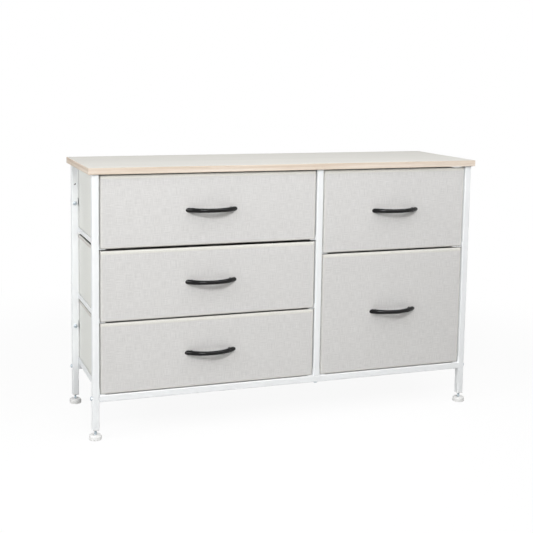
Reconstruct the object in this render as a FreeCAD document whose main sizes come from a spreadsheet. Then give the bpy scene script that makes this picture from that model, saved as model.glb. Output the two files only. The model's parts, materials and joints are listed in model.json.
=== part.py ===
import FreeCAD, Part
import os
from types import SimpleNamespace

import Sketcher

# Fabric drawer dresser: a wood-look board on a frame of square steel tube, with three fabric
# drawers on the left and two on the right. Millimetres, X to the right, Y to the back, Z up.
# The origin lies on the floor, under the middle of the whole outline.

SIZES = {
    # Top board, and the height of its upper face above the floor
    "overall_height": 637,
    "board_width": 1000,
    "board_depth": 300,
    "board_thickness": 15,
    "board_edge_radius": 0.8,
    # How far the board stands out past the frame
    "side_overhang": 9,
    "front_overhang": 5,
    "rear_overhang": 8,
    # Square tube of the posts and beams
    "tube": 16,
    "tube_wall": 1.2,
    "tube_corner": 2,
    "end_plate": 3,
    # Middle of the centre posts, to the right of the dresser's middle
    "centre_offset": 71.5,
    "beam_bottom": 90,
    # Flat bars on the posts' tops
    "top_bar_thickness": 3,
    # Flat strips across the rear: one hangs under the board, one stands above the beam
    "strip_height": 20,
    "strip_thickness": 3,
    "upper_strip_drop": 101,
    "lower_strip_rise": 98,
    # Bare hole for a wall strap in each rear corner post, and its distance under the board
    "anchor_drop": 52,
    "anchor_hole": 5,
    # Runner angles that carry the drawers
    "runner_ledge": 15,
    "runner_height": 12,
    "runner_height_low": 16,
    "runner_thickness": 1.5,
    "runner_setback": 3,
    # Gaps around the drawers
    "drawer_recess": 2,
    "drawer_side_gap": 4,
    "drawer_gap": 4,
    "drawer_top_gap": 5.5,
    "drawer_rear_gap": 1,
    "right_upper_height": 202,
    # Fabric bin with its stiff front panel and base board
    "bin_wall": 2.5,
    "bin_corner": 4,
    "panel_thickness": 5,
    "panel_rim": 6,
    "base_thickness": 3,
    "board_play": 0.5,
    # Bow handle: a round bar bent to an arc that ends in two feet
    "handle_projection": 26.5,
    "handle_bar": 9,
    "handle_span": 112,
    "handle_hole_spacing": 96,
    "handle_foot": 11,
    "handle_foot_thickness": 5,
    # Screws and bolts, with the play of a hole around its screw
    "hole_play": 0.1,
    "bolt_diameter": 6,
    "bolt_head": 10,
    "bolt_head_height": 4,
    "bolt_head_dome": 2.5,
    "bolt_socket": 4,
    "bolt_socket_depth": 2,
    "bolt_tip": 1,
    "board_screw_diameter": 4,
    "board_screw_head": 8,
    "board_screw_head_height": 2.5,
    "board_screw_bite": 10,
    "board_screw_spacing": 180,
    "handle_screw_diameter": 4,
    "handle_screw_head": 8,
    "handle_screw_head_height": 2.4,
    "handle_screw_bite": 8,
    "screw_head_dome": 1.5,
    "screw_recess_length": 4,
    "screw_recess_width": 1,
    "screw_recess_depth": 1.4,
    "screw_point": 3,
    "hole_end": 1,
    # Levelling feet and the plugs that they screw into
    "pad_diameter": 30,
    "pad_height": 12,
    "pad_top_round": 5,
    "pad_bottom_round": 1.5,
    "stem_diameter": 6,
    "stem_seat": 7,
    "stem_showing": 10,
    "stem_inside": 28,
    "stem_chamfer": 1,
    "plug_flange": 3,
    "plug_chamfer": 1.5,
    "plug_depth": 18,
    "plug_play": 0.1,
}

doc = FreeCAD.newDocument("fabric_drawer_dresser")
sheet = doc.addObject("Spreadsheet::Sheet", "Sizes")
for row, (alias, number) in enumerate(SIZES.items(), start=1):
    sheet.set(f"A{row}", str(number))
    sheet.setAlias(f"A{row}", alias)
doc.recompute()
size = SimpleNamespace(**{alias: f"Sizes.{alias}" for alias in SIZES})

# Places worked out from the sizes, as expressions.
handle_front = f"({size.handle_projection} - {size.front_overhang} - {size.drawer_recess})"
board_y = f"({handle_front} / 2)"
frame_front = f"({board_y} - {size.board_depth} / 2 + {size.front_overhang})"
frame_rear = f"({board_y} + {size.board_depth} / 2 - {size.rear_overhang})"
frame_depth = f"({size.board_depth} - {size.front_overhang} - {size.rear_overhang})"
frame_side = f"({size.board_width} / 2 - {size.side_overhang})"
tube_inside = f"({size.tube} - 2 * {size.tube_wall})"
post_x = f"({frame_side} - {size.tube} / 2)"
front_y = f"({frame_front} + {size.tube} / 2)"
rear_y = f"({frame_rear} - {size.tube} / 2)"
bay_side = f"({frame_side} - {size.tube})"
centre_left = f"({size.centre_offset} - {size.tube} / 2)"
centre_right = f"({size.centre_offset} + {size.tube} / 2)"
board_bottom = f"({size.overall_height} - {size.board_thickness})"
post_top = f"({board_bottom} - {size.top_bar_thickness})"
plug_bottom = f"({size.pad_height} + {size.stem_showing})"
post_bottom = f"({plug_bottom} + {size.plug_flange})"
beam_top = f"({size.beam_bottom} + {size.tube})"
beam_level = f"({size.beam_bottom} + {size.tube} / 2)"
upper_strip_level = f"({board_bottom} - {size.upper_strip_drop})"
lower_strip_level = f"({beam_top} + {size.lower_strip_rise})"
strip_levels = (upper_strip_level, lower_strip_level)
anchor_level = f"({board_bottom} - {size.anchor_drop})"
stack_bottom = f"({beam_top} + {size.runner_thickness})"
stack_top = f"({board_bottom} - {size.drawer_top_gap})"
drawer_front = f"({frame_front} + {size.drawer_recess})"
drawer_depth = f"({frame_depth} - {size.drawer_recess} - {size.drawer_rear_gap})"
bolt_hole = f"({size.bolt_diameter} + {size.hole_play})"
stem_hole = f"({size.stem_diameter} + {size.hole_play})"
board_screw_hole = f"({size.board_screw_diameter} + {size.hole_play})"
handle_screw_hole = f"({size.handle_screw_diameter} + {size.hole_play})"

X_AXIS = FreeCAD.Vector(1, 0, 0)
Y_AXIS = FreeCAD.Vector(0, 1, 0)
Z_AXIS = FreeCAD.Vector(0, 0, 1)

# Differences smaller than this come from rounding
ROUNDING = 1e-6

nodes = []


def value(expression):
    """The number that an expression has now, for a sketch's first position."""
    return float(sheet.evalExpression(expression))


def keep(thing):
    """Marks an object as a finished sub-part, written to its own file."""
    nodes.append(thing)
    return thing


def new_body(label):
    body = doc.addObject("PartDesign::Body", label)
    body.Label = label
    return body


def place(thing, x="0", y="0", z="0", axis=Z_AXIS, angle=0):
    """Turns an object about its own origin and sets that origin at a place given by expressions."""
    thing.Placement = FreeCAD.Placement(FreeCAD.Vector(), FreeCAD.Rotation(axis, angle))
    for letter, expression in zip("xyz", (x, y, z)):
        thing.setExpression(f"Placement.Base.{letter}", expression)


def origin_feature(body, role):
    return next(feature for feature in body.Origin.OriginFeatures if feature.Role == role)


def new_sketch(body, role, offset=None):
    """A sketch on one of the body's own planes, or at an offset along that plane's normal."""
    sketch = body.newObject("Sketcher::SketchObject", f"{body.Name}_sketch")
    sketch.AttachmentSupport = [(origin_feature(body, role), "")]
    sketch.MapMode = "FlatFace"
    if offset:
        sketch.setExpression("AttachmentOffset.Base.z", offset)
    return sketch


def bind(sketch, kind, *places, expression):
    """Adds a dimension to a sketch and ties it to an expression."""
    index = sketch.addConstraint(Sketcher.Constraint(kind, *places, value(expression)))
    sketch.renameConstraint(index, f"size_{index}")
    sketch.setExpression(f"Constraints.size_{index}", expression)


def pin(sketch, curve, end, x, y):
    """Fixes one point of a curve by its distances from the sketch's origin."""
    bind(sketch, "DistanceX", -1, 1, curve, end, expression=x)
    bind(sketch, "DistanceY", -1, 1, curve, end, expression=y)


def outline(sketch, corners):
    """Closed straight-sided outline through corners given by expressions."""
    points = [FreeCAD.Vector(value(x), value(y), 0) for x, y in corners]
    first = sketch.GeometryCount
    count = len(points)
    for n in range(count):
        sketch.addGeometry(Part.LineSegment(points[n], points[(n + 1) % count]))
    for n, (x, y) in enumerate(corners):
        following = first + (n + 1) % count
        sketch.addConstraint(Sketcher.Constraint("Coincident", first + n, 2, following, 1))
        pin(sketch, first + n, 1, x, y)


def rectangle(sketch, low, high):
    (x0, y0), (x1, y1) = low, high
    outline(sketch, [(x0, y0), (x1, y0), (x1, y1), (x0, y1)])


def square(sketch, side):
    """Square around the sketch's origin."""
    rectangle(sketch, (f"-{side} / 2", f"-{side} / 2"), (f"{side} / 2", f"{side} / 2"))


def circle(sketch, diameter, x="0", y="0"):
    middle = FreeCAD.Vector(value(x), value(y), 0)
    curve = sketch.addGeometry(Part.Circle(middle, Z_AXIS, value(diameter) / 2))
    bind(sketch, "Diameter", curve, expression=diameter)
    pin(sketch, curve, 3, x, y)


def pad(body, sketch, length, reverse=False):
    feature = body.newObject("PartDesign::Pad", f"{body.Name}_pad")
    feature.Profile = sketch
    feature.Reversed = reverse
    feature.setExpression("Length", length)
    doc.recompute()


def pocket(body, sketch, depth=None, reverse=False):
    """Cuts to a depth, or right through both ways where no depth is given."""
    before = body.Shape.Volume
    feature = body.newObject("PartDesign::Pocket", f"{body.Name}_pocket")
    feature.Profile = sketch
    feature.Reversed = reverse
    if depth is None:
        feature.Type = "ThroughAll"
        feature.SideType = "Symmetric"
    else:
        feature.setExpression("Length", depth)
    doc.recompute()
    if not body.Shape.Volume < before:
        raise RuntimeError(f"{feature.Name} cuts nothing")


def revolve(body, sketch, angle=360):
    """Turns a sketch about the body's own Z axis, evenly to both sides."""
    feature = body.newObject("PartDesign::Revolution", f"{body.Name}_revolution")
    feature.Profile = sketch
    feature.ReferenceAxis = (origin_feature(body, "Z_Axis"), [""])
    feature.Midplane = True
    feature.Angle = angle
    doc.recompute()


def edge_names(shape, wanted):
    """Names of the edges that satisfy a test."""
    return [f"Edge{n}" for n, edge in enumerate(shape.Edges, start=1) if wanted(edge)]


def along(edge, axis):
    """True for a straight edge that runs along an axis."""
    if edge.Curve.TypeId != "Part::GeomLine":
        return False
    return edge.Curve.Direction.cross(axis).Length < ROUNDING


def round_edges(body, wanted, radius, kind="Fillet"):
    """Rounds the chosen edges of the body's last feature, or chamfers them."""
    feature = body.newObject(f"PartDesign::{kind}", f"{body.Name}_{kind.lower()}")
    base = feature.BaseFeature
    feature.Base = (base, edge_names(base.Shape, wanted))
    feature.setExpression("Radius" if kind == "Fillet" else "Size", radius)
    doc.recompute()


def rim_at(level, diameter):
    """Test for a round edge of a diameter that lies flat at a height of the body."""
    height = value(level)
    radius = value(diameter) / 2

    def wanted(edge):
        if edge.Curve.TypeId != "Part::GeomCircle":
            return False
        level_off = max(abs(edge.BoundBox.ZMax - height), abs(edge.BoundBox.ZMin - height))
        return max(level_off, abs(edge.Curve.Radius - radius)) < ROUNDING

    return wanted


def corner_of(side):
    """Test for an upright edge at a corner of a square around the body's own Z axis."""
    half = value(side) / 2

    def wanted(edge):
        middle = edge.CenterOfMass
        off = max(abs(abs(middle.x) - half), abs(abs(middle.y) - half))
        return along(edge, Z_AXIS) and off < ROUNDING

    return wanted


# Top board, with the blind holes that its screws bite into.
def screw_rows():
    """Places of the board's screws: a front and a rear one over each pair of posts."""
    for x in (f"-{post_x}", size.centre_offset, post_x):
        for side in ("-", "+"):
            yield x, f"{board_y} {side} {size.board_screw_spacing} / 2"


def top_board():
    body = new_body("top_board")
    half_width = f"{size.board_width} / 2"
    front = f"{board_y} - {size.board_depth} / 2"
    rear = f"{board_y} + {size.board_depth} / 2"
    face = new_sketch(body, "XY_Plane")
    rectangle(face, (f"-{half_width}", front), (half_width, rear))
    pad(body, face, size.board_thickness)
    round_edges(body, lambda edge: True, size.board_edge_radius)
    holes = new_sketch(body, "XY_Plane")
    for x, y in screw_rows():
        circle(holes, board_screw_hole, x, y)
    pocket(body, holes, f"{size.board_screw_bite} + {size.hole_end}", reverse=True)
    place(body, z=board_bottom)
    keep(body)


# Square tube: its own Z axis runs along it, and its lower end may be closed by a tapped plate.
def tube(label, length):
    body = new_body(label)
    section = new_sketch(body, "XY_Plane")
    square(section, size.tube)
    square(section, tube_inside)
    pad(body, section, length)
    round_edges(body, corner_of(size.tube), size.tube_corner)
    round_edges(body, corner_of(tube_inside), f"{size.tube_corner} - {size.tube_wall}")
    return keep(body)


def close_end(body, start=None):
    """Plate welded inside a tube's end, with the tapped hole for a frame bolt."""
    plate = new_sketch(body, "XY_Plane", start)
    square(plate, tube_inside)
    circle(plate, bolt_hole)
    pad(body, plate, size.end_plate)


def cross_hole(body, role, diameter, *levels):
    """Holes through both walls of a tube, at heights along it."""
    holes = new_sketch(body, role)
    for level in levels:
        circle(holes, diameter, "0", level)
    pocket(body, holes)


def corner_post(end, y, side, x):
    body = tube(f"post_{end}_{side}", f"{post_top} - {post_bottom}")
    cross_hole(body, "YZ_Plane", bolt_hole, f"{beam_level} - {post_bottom}")
    if end == "rear":
        cross_hole(body, "XZ_Plane", bolt_hole, *(f"{level} - {post_bottom}" for level in strip_levels))
        cross_hole(body, "XZ_Plane", size.anchor_hole, f"{anchor_level} - {post_bottom}")
    place(body, x, y, post_bottom)


def centre_post(end, y):
    body = tube(f"post_{end}_centre", f"{post_top} - {beam_top}")
    close_end(body)
    if end == "rear":
        cross_hole(body, "XZ_Plane", bolt_hole, *(f"{level} - {beam_top}" for level in strip_levels))
    place(body, size.centre_offset, y, beam_top)


def beam(end, y):
    """Bottom beam from corner post to corner post; the centre post stands on it."""
    length = f"2 * {bay_side}"
    body = tube(f"beam_{end}", length)
    close_end(body)
    close_end(body, f"{length} - {size.end_plate}")
    cross_hole(body, "YZ_Plane", bolt_hole, f"{bay_side} + {size.centre_offset}")
    place(body, f"-{bay_side}", y, beam_level, Y_AXIS, 90)


def top_bar(side, x):
    """Flat bar over the tops of one pair of posts, with holes for the board's screws."""
    body = new_body(f"top_bar_{side}")
    face = new_sketch(body, "XY_Plane")
    rectangle(face, (f"-{size.tube} / 2", frame_front), (f"{size.tube} / 2", frame_rear))
    for sign in ("-", "+"):
        circle(face, board_screw_hole, "0", f"{board_y} {sign} {size.board_screw_spacing} / 2")
    pad(body, face, size.top_bar_thickness)
    place(body, x, z=post_top)
    keep(body)


def rear_strip(name, level):
    """Flat strip behind the rear posts, tapped for the bolts that come through them."""
    body = new_body(f"rear_strip_{name}")
    face = new_sketch(body, "XZ_Plane")
    half_height = f"{size.strip_height} / 2"
    rectangle(face, (f"-{frame_side}", f"-{half_height}"), (frame_side, half_height))
    for x in (f"-{post_x}", size.centre_offset, post_x):
        circle(face, bolt_hole, x)
    pad(body, face, size.strip_thickness, reverse=True)
    place(body, "0", frame_rear, level)
    keep(body)


def runner(name, x, level, height, faces_left):
    """Steel angle on the inner faces of a front and a rear post; its ledge carries a drawer."""
    body = new_body(f"runner_{name}")
    section = new_sketch(body, "XZ_Plane")
    outline(section, [
        ("0", "0"),
        (size.runner_ledge, "0"),
        (size.runner_ledge, size.runner_thickness),
        (size.runner_thickness, size.runner_thickness),
        (size.runner_thickness, height),
        ("0", height),
    ])
    pad(body, section, f"{frame_depth} - 2 * {size.runner_setback}", reverse=True)
    if faces_left:
        place(body, x, f"{frame_rear} - {size.runner_setback}", level, Z_AXIS, 180)
    else:
        place(body, x, f"{frame_front} + {size.runner_setback}", level)
    keep(body)


# Screws and bolts: the head's seat is at the body's own origin, and the shank runs along +Z.
def hexagon(across):
    corner = f"{across} / sqrt(3)"
    return [(f"{corner} * cos({60 * n} deg)", f"{corner} * sin({60 * n} deg)") for n in range(6)]


def cross(length, width):
    """Corners of a cross recess, one arm after another."""
    far, near = f"{length} / 2", f"{width} / 2"
    return [
        (far, near), (near, near), (near, far), (f"-{near}", far), (f"-{near}", near), (f"-{far}", near),
        (f"-{far}", f"-{near}"), (f"-{near}", f"-{near}"), (f"-{near}", f"-{far}"), (near, f"-{far}"),
        (near, f"-{near}"), (far, f"-{near}"),
    ]


def screw(label, head, head_height, dome, diameter, length, point, recess, recess_depth):
    body = new_body(label)
    radius = f"{diameter} / 2"
    profile = new_sketch(body, "XZ_Plane")
    outline(profile, [
        ("0", f"-{head_height}"),
        (f"{head} / 2", f"-{head_height}"),
        (f"{head} / 2", "0"),
        (radius, "0"),
        (radius, f"{length} - {point}"),
        (f"{radius} / 2", length),
        ("0", length),
    ])
    revolve(body, profile)
    round_edges(body, rim_at(f"-{head_height}", head), dome)
    drive = new_sketch(body, "XY_Plane", f"-{head_height}")
    outline(drive, recess)
    pocket(body, drive, recess_depth, reverse=True)
    return body


def group(label, pattern, places):
    """One sub-part of separate, identical solids; a place is x, y, z and a turn."""
    copies = []
    for n, (x, y, z, axis, angle) in enumerate(places):
        copy = doc.addObject("App::Link", f"{label}_{n + 1}")
        copy.LinkedObject = pattern
        place(copy, x, y, z, axis, angle)
        copies.append(copy)
    compound = doc.addObject("Part::Compound", label)
    compound.Label = label
    compound.Links = copies
    keep(compound)


def frame_bolts():
    """Bolts of one kind: beams to corner posts, centre posts to beams, rear strips to rear posts."""
    length = f"({size.tube} + {size.end_plate} + {size.bolt_tip})"
    pattern = screw(
        "bolt_pattern", size.bolt_head, size.bolt_head_height, size.bolt_head_dome, size.bolt_diameter,
        length, size.bolt_tip, hexagon(size.bolt_socket), size.bolt_socket_depth)
    places = []
    for y in (front_y, rear_y):
        places.append((f"-{frame_side}", y, beam_level, Y_AXIS, 90))
        places.append((frame_side, y, beam_level, Y_AXIS, -90))
        places.append((size.centre_offset, y, size.beam_bottom, Z_AXIS, 0))
    for level in strip_levels:
        for x in (f"-{post_x}", size.centre_offset, post_x):
            places.append((x, f"{frame_rear} - {size.tube}", level, X_AXIS, -90))
    group("frame_bolts", pattern, places)


def board_screws():
    length = f"({size.top_bar_thickness} + {size.board_screw_bite})"
    pattern = screw(
        "board_screw_pattern", size.board_screw_head, size.board_screw_head_height, size.screw_head_dome,
        size.board_screw_diameter, length, size.screw_point,
        cross(size.screw_recess_length, size.screw_recess_width), size.screw_recess_depth)
    group("board_screws", pattern, [(x, y, post_top, Z_AXIS, 0) for x, y in screw_rows()])


# Levelling feet: a plug in each corner post's lower end, and in it a stem that stands in a pad.
def leg_plugs():
    body = new_body("plug_pattern")
    flange = new_sketch(body, "XY_Plane")
    square(flange, size.tube)
    pad(body, flange, size.plug_flange)
    round_edges(body, lambda edge: edge.BoundBox.ZMax < ROUNDING, size.plug_chamfer, kind="Chamfer")
    core = new_sketch(body, "XY_Plane", size.plug_flange)
    core_side = f"({tube_inside} - 2 * {size.plug_play})"
    square(core, core_side)
    pad(body, core, size.plug_depth)
    round_edges(body, corner_of(core_side), size.tube_corner)
    bore = new_sketch(body, "XY_Plane")
    circle(bore, stem_hole)
    pocket(body, bore)
    group("leg_plugs", body, [(x, y, plug_bottom, Z_AXIS, 0) for x, y in corner_places().values()])


def corner_places():
    """The corner posts' middles, by name."""
    return {
        f"{end}_{side}": (x, y)
        for end, y in (("front", front_y), ("rear", rear_y))
        for side, x in (("left", f"-{post_x}"), ("right", post_x))
    }


def levelling_foot(name, x, y):
    foot_pad = new_body(f"foot_pad_{name}")
    radius = f"{size.pad_diameter} / 2"
    seat_radius = f"{stem_hole} / 2"
    seat_floor = f"{size.pad_height} - {size.stem_seat}"
    profile = new_sketch(foot_pad, "XZ_Plane")
    outline(profile, [
        ("0", "0"),
        (radius, "0"),
        (radius, size.pad_height),
        (seat_radius, size.pad_height),
        (seat_radius, seat_floor),
        ("0", seat_floor),
    ])
    revolve(foot_pad, profile)
    round_edges(foot_pad, rim_at(size.pad_height, size.pad_diameter), size.pad_top_round)
    round_edges(foot_pad, rim_at("0", size.pad_diameter), size.pad_bottom_round)
    place(foot_pad, x, y)
    keep(foot_pad)

    stem = new_body(f"foot_stem_{name}")
    stem_radius = f"{size.stem_diameter} / 2"
    stem_length = f"({size.stem_seat} + {size.stem_showing} + {size.stem_inside})"
    turned = new_sketch(stem, "XZ_Plane")
    outline(turned, [
        ("0", "0"),
        (stem_radius, "0"),
        (stem_radius, f"{stem_length} - {size.stem_chamfer}"),
        (f"{stem_radius} - {size.stem_chamfer}", stem_length),
        ("0", stem_length),
    ])
    revolve(stem, turned)
    place(stem, x, y, seat_floor)
    keep(stem)


# Drawers: each body's own origin is at the middle of the drawer's lower front edge.
def fabric_bin(name, width, height):
    body = new_body(f"{name}_bin")
    floor = new_sketch(body, "XY_Plane")
    rectangle(floor, (f"-{width} / 2", "0"), (f"{width} / 2", drawer_depth))
    pad(body, floor, height)
    round_edges(body, lambda edge: along(edge, Z_AXIS), size.bin_corner)
    inside = new_sketch(body, "XY_Plane", size.bin_wall)
    inner_side = f"({width} / 2 - {size.bin_wall})"
    rectangle(inside, (f"-{inner_side}", size.bin_wall), (inner_side, f"{drawer_depth} - {size.bin_wall}"))
    pocket(body, inside, height, reverse=True)
    holes = new_sketch(body, "XZ_Plane")
    for side in ("-", ""):
        circle(holes, handle_screw_hole, f"{side}{size.handle_hole_spacing} / 2", f"{height} / 2")
    pocket(body, holes, size.bin_wall)
    return keep(body)


def front_panel(name, width, height):
    """Stiff panel that stands in the bin, against the inside of its front."""
    body = new_body(f"{name}_front_panel")
    half_width = f"({width} / 2 - {size.bin_wall} - {size.board_play})"
    face = new_sketch(body, "XZ_Plane")
    rectangle(face, (f"-{half_width}", size.bin_wall), (half_width, f"{height} - {size.panel_rim}"))
    for side in ("-", ""):
        circle(face, handle_screw_hole, f"{side}{size.handle_hole_spacing} / 2", f"{height} / 2")
    pad(body, face, size.panel_thickness, reverse=True)
    return keep(body)


def base_board(name, width):
    """Loose board on the bin's floor, behind the front panel."""
    body = new_body(f"{name}_base_board")
    half_width = f"({width} / 2 - {size.bin_wall} - {size.board_play})"
    near = f"{size.bin_wall} + {size.panel_thickness}"
    far = f"{drawer_depth} - {size.bin_wall} - {size.board_play}"
    face = new_sketch(body, "XY_Plane")
    rectangle(face, (f"-{half_width}", near), (half_width, far))
    pad(body, face, size.base_thickness)
    return keep(body)


# Bow handle: its own origin is at the middle of its arc, and the drawer's front lies bow_drop before it.
bow_rise = f"({size.handle_projection} - {size.handle_bar} / 2)"
bow_radius = f"((({size.handle_span} / 2)^2 + {bow_rise}^2) / (2 * {bow_rise}))"
bow_drop = f"({bow_radius} - {bow_rise})"


def bow_handle(name):
    body = new_body(f"{name}_handle")
    bar = new_sketch(body, "YZ_Plane")
    circle(bar, size.handle_bar, f"-{bow_radius}")
    revolve(body, bar, 180)
    behind = new_sketch(body, "XY_Plane")
    reach = f"({bow_radius} + {size.handle_bar})"
    rectangle(behind, (f"-{reach}", f"-{bow_drop}"), (reach, reach))
    pocket(body, behind)
    feet = new_sketch(body, "XZ_Plane", bow_drop)
    for side in ("-", ""):
        circle(feet, size.handle_foot, f"{side}{size.handle_hole_spacing} / 2")
    pad(body, feet, size.handle_foot_thickness)
    holes = new_sketch(body, "XZ_Plane", bow_drop)
    for side in ("-", ""):
        circle(holes, handle_screw_hole, f"{side}{size.handle_hole_spacing} / 2")
    pocket(body, holes, f"{size.handle_screw_bite} + {size.hole_end}", reverse=True)
    return keep(body)


def drawer(name, bay_left, bay_right, bottom, height):
    width = f"({bay_right} - ({bay_left}) - 2 * {size.drawer_side_gap})"
    x = f"({bay_right} + {bay_left}) / 2"
    place(fabric_bin(name, width, height), x, drawer_front, bottom)
    place(front_panel(name, width, height), x, f"{drawer_front} + {size.bin_wall}", bottom)
    place(base_board(name, width), x, drawer_front, f"{bottom} + {size.bin_wall}")
    handle_level = f"{bottom} + {height} / 2"
    place(bow_handle(name), x, f"{drawer_front} + {bow_drop}", handle_level)
    seat = f"{drawer_front} + {size.bin_wall} + {size.panel_thickness}"
    screw_x = [f"{x} {side} {size.handle_hole_spacing} / 2" for side in ("-", "+")]
    screw_places = [(hole_x, seat, handle_level, X_AXIS, 90) for hole_x in screw_x]
    group(f"{name}_handle_screws", handle_screw_pattern, screw_places)


top_board()
for end, y in (("front", front_y), ("rear", rear_y)):
    corner_post(end, y, "left", f"-{post_x}")
    corner_post(end, y, "right", post_x)
    centre_post(end, y)
    beam(end, y)
for side, x in (("left", f"-{post_x}"), ("centre", size.centre_offset), ("right", post_x)):
    top_bar(side, x)
rear_strip("upper", upper_strip_level)
rear_strip("lower", lower_strip_level)
frame_bolts()
board_screws()
leg_plugs()
for name, (x, y) in corner_places().items():
    levelling_foot(name, x, y)

handle_screw_pattern = screw(
    "handle_screw_pattern", size.handle_screw_head, size.handle_screw_head_height, size.screw_head_dome,
    size.handle_screw_diameter, f"({size.panel_thickness} + {size.bin_wall} + {size.handle_screw_bite})",
    size.hole_end, cross(size.screw_recess_length, size.screw_recess_width), size.screw_recess_depth)

# Drawer levels: the left column is shared out evenly, the right one by its upper drawer's height.
stack_height = f"({stack_top} - {stack_bottom})"
left_height = f"(({stack_height} - 2 * {size.drawer_gap}) / 3)"
left_step = f"({left_height} + {size.drawer_gap})"
right_upper_bottom = f"({stack_top} - {size.right_upper_height})"
right_lower_height = f"({stack_height} - {size.drawer_gap} - {size.right_upper_height})"
left_drawers = [
    ("left_upper", f"({stack_bottom} + 2 * {left_step})", left_height, size.runner_height),
    ("left_middle", f"({stack_bottom} + {left_step})", left_height, size.runner_height),
    ("left_lower", stack_bottom, left_height, size.runner_height_low),
]
right_drawers = [
    ("right_upper", right_upper_bottom, size.right_upper_height, size.runner_height),
    ("right_lower", stack_bottom, right_lower_height, size.runner_height_low),
]
for column, bay_left, bay_right, left_end, right_end in (
        (left_drawers, f"-{bay_side}", centre_left, "outer", "inner"),
        (right_drawers, centre_right, bay_side, "inner", "outer")):
    for name, bottom, height, runner_height in column:
        drawer(name, bay_left, bay_right, bottom, height)
        ledge = f"{bottom} - {size.runner_thickness}"
        runner(f"{name}_{left_end}", bay_left, ledge, runner_height, faces_left=False)
        runner(f"{name}_{right_end}", bay_right, ledge, runner_height, faces_left=True)

doc.recompute()
for thing in doc.Objects:
    if "Invalid" in thing.State or "Error" in thing.State:
        raise RuntimeError(f"{thing.Name} failed: {thing.State}")
for node in nodes:
    if node.Shape.isNull() or not node.Shape.isValid():
        raise RuntimeError(f"{node.Label} has no valid shape")

os.makedirs("parts", exist_ok=True)
for node in nodes:
    node.Shape.exportStep(f"parts/{node.Label}.step")
print(len(nodes), "sub-parts written")
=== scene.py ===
# %% [markdown]
# # A fabric drawer dresser
# Five cloth drawers slide on runners in a white steel frame, under a board with a wood look. The CAD
# model already holds every piece at its true size, so the scene starts from it and moves none of it.
# Steel tube, runners, bolts and screws keep their CAD shape and only get a finish. Cloth, board, handles
# and feet are modelled again here, because soft folds, sewn edges and rounded mouldings are easier to
# shape with Blender's mesh tools.

# %% Load the frame
import json
import math
from contextlib import contextmanager

import bmesh
import bpy
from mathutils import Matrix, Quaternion, Vector

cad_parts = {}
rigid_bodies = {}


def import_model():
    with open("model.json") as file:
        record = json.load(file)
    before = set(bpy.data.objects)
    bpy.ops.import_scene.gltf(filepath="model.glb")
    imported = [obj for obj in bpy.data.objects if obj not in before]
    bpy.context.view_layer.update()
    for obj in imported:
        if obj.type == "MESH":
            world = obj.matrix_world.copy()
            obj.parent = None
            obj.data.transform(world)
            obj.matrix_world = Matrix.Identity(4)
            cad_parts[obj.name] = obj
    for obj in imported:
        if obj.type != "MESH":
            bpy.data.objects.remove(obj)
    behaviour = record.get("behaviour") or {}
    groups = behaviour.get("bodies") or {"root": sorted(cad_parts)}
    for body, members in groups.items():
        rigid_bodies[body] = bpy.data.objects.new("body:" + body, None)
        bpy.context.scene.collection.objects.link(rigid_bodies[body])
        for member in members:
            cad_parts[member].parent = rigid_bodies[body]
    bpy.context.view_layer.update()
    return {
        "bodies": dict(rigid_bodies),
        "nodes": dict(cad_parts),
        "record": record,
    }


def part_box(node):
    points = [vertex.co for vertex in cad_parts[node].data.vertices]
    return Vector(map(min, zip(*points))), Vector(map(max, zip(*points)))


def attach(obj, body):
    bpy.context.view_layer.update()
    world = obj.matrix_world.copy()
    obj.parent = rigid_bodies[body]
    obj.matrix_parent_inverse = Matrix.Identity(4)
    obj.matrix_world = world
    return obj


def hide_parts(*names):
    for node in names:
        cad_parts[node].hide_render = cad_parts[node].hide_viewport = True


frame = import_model()
nodes = frame["nodes"]
scene = bpy.context.scene
MM = 0.001
drawers = sorted(name.removesuffix("_bin") for name in nodes if name.endswith("_bin"))
feet = sorted(body.removeprefix("foot_") for body in frame["bodies"] if body.startswith("foot_"))
print("CAD nodes:", len(nodes), "drawers:", drawers, "feet:", feet)

# %% [markdown]
# ## Camera
# The photograph looks at the dresser from the left and a little above. A camera could be placed by eye,
# but the lines of the board and posts fix it much better: angle, distance and lens were solved from them.
# The optical axis isn't in the middle of the picture, so the lens is shifted. Focal length and optical
# axis are in pixels of the photograph.

# %% Camera
IMAGE_SIDE = 533
FOCAL_LENGTH = 1004.1
OPTICAL_AXIS = (230, 180)
AZIMUTH = math.radians(-18.61)
ELEVATION = math.radians(6.32)
ROLL = math.radians(0.67)
LOOKED_AT = Vector((-116.42, 0, 586.05)) * MM
DISTANCE = 2516.1 * MM


def deselect():
    """Leaves no object selected, so that the next operator acts on nothing else."""
    bpy.ops.object.select_all(action="DESELECT")


towards_eye = Vector((
    math.sin(AZIMUTH) * math.cos(ELEVATION),
    -math.cos(AZIMUTH) * math.cos(ELEVATION),
    math.sin(ELEVATION),
))
deselect()
bpy.ops.object.camera_add(location=LOOKED_AT + towards_eye * DISTANCE)
camera = bpy.context.object
camera.name = "photo_camera"
camera.rotation_euler = (
    towards_eye.to_track_quat("Z", "Y") @ Quaternion((0, 0, 1), ROLL)
).to_euler()
camera.data.lens = FOCAL_LENGTH / IMAGE_SIDE * camera.data.sensor_width
camera.data.shift_x = (IMAGE_SIDE / 2 - OPTICAL_AXIS[0]) / IMAGE_SIDE
camera.data.shift_y = (OPTICAL_AXIS[1] - IMAGE_SIDE / 2) / IMAGE_SIDE
scene.camera = camera
scene.view_settings.view_transform = "Standard"
shift = [round(amount, 4) for amount in (camera.data.shift_x, camera.data.shift_y)]
print("lens", round(camera.data.lens, 2), "mm, shift", shift)

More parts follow.
